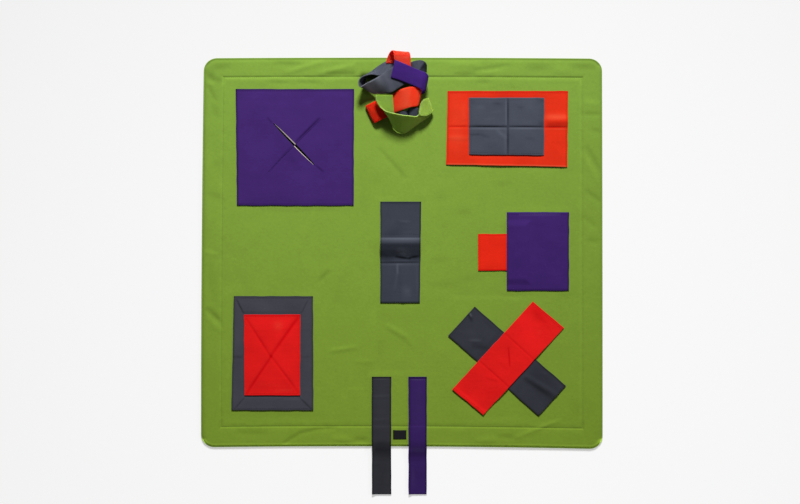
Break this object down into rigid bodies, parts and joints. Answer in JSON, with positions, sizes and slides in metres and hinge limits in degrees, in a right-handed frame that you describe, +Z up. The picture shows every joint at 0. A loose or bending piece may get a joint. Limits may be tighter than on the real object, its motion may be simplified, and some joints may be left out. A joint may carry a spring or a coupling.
{
  "type": "snuffle mat",
  "caption": "Square padded fleece snuffle mat for a dog, lying flat, with felt patches, a raised tunnel band, tie straps and a tangle of looped felt strips that hide treats.",
  "frame": {"origin": "centre of the mat's underside, on the floor", "axes": "+Z up out of the mat's top, +Y towards the edge with the tangle of strips, -Y towards the two tie straps, +X towards the pocket's side"},
  "size_m": [0.801, 0.8815, 0.044],
  "materials": {
    "green": "matte brushed fleece",
    "green_strip": "matte felt",
    "purple": "matte felt",
    "red": "matte felt",
    "grey": "matte felt",
    "black": "matte woven label"
  },
  "bodies": {
    "root": {"mat": "green", "purple_square": "purple", "red_flap": "red", "grey_flap": "grey", "red_tab": "red", "purple_pocket": "purple", "cross_grey": "grey", "cross_red": "red", "frame_grey": "grey", "frame_red": "red", "tunnel_band": "grey", "strap_grey": "grey", "strap_purple": "purple", "label": "black", "strip_grey_left": "grey", "strip_grey_right": "grey", "strip_grey_inner": "grey", "strip_red_top": "red", "strip_red_middle": "red", "strip_red_left": "red", "strip_purple": "purple", "strip_green": "green_strip"}
  },
  "joints": []
}
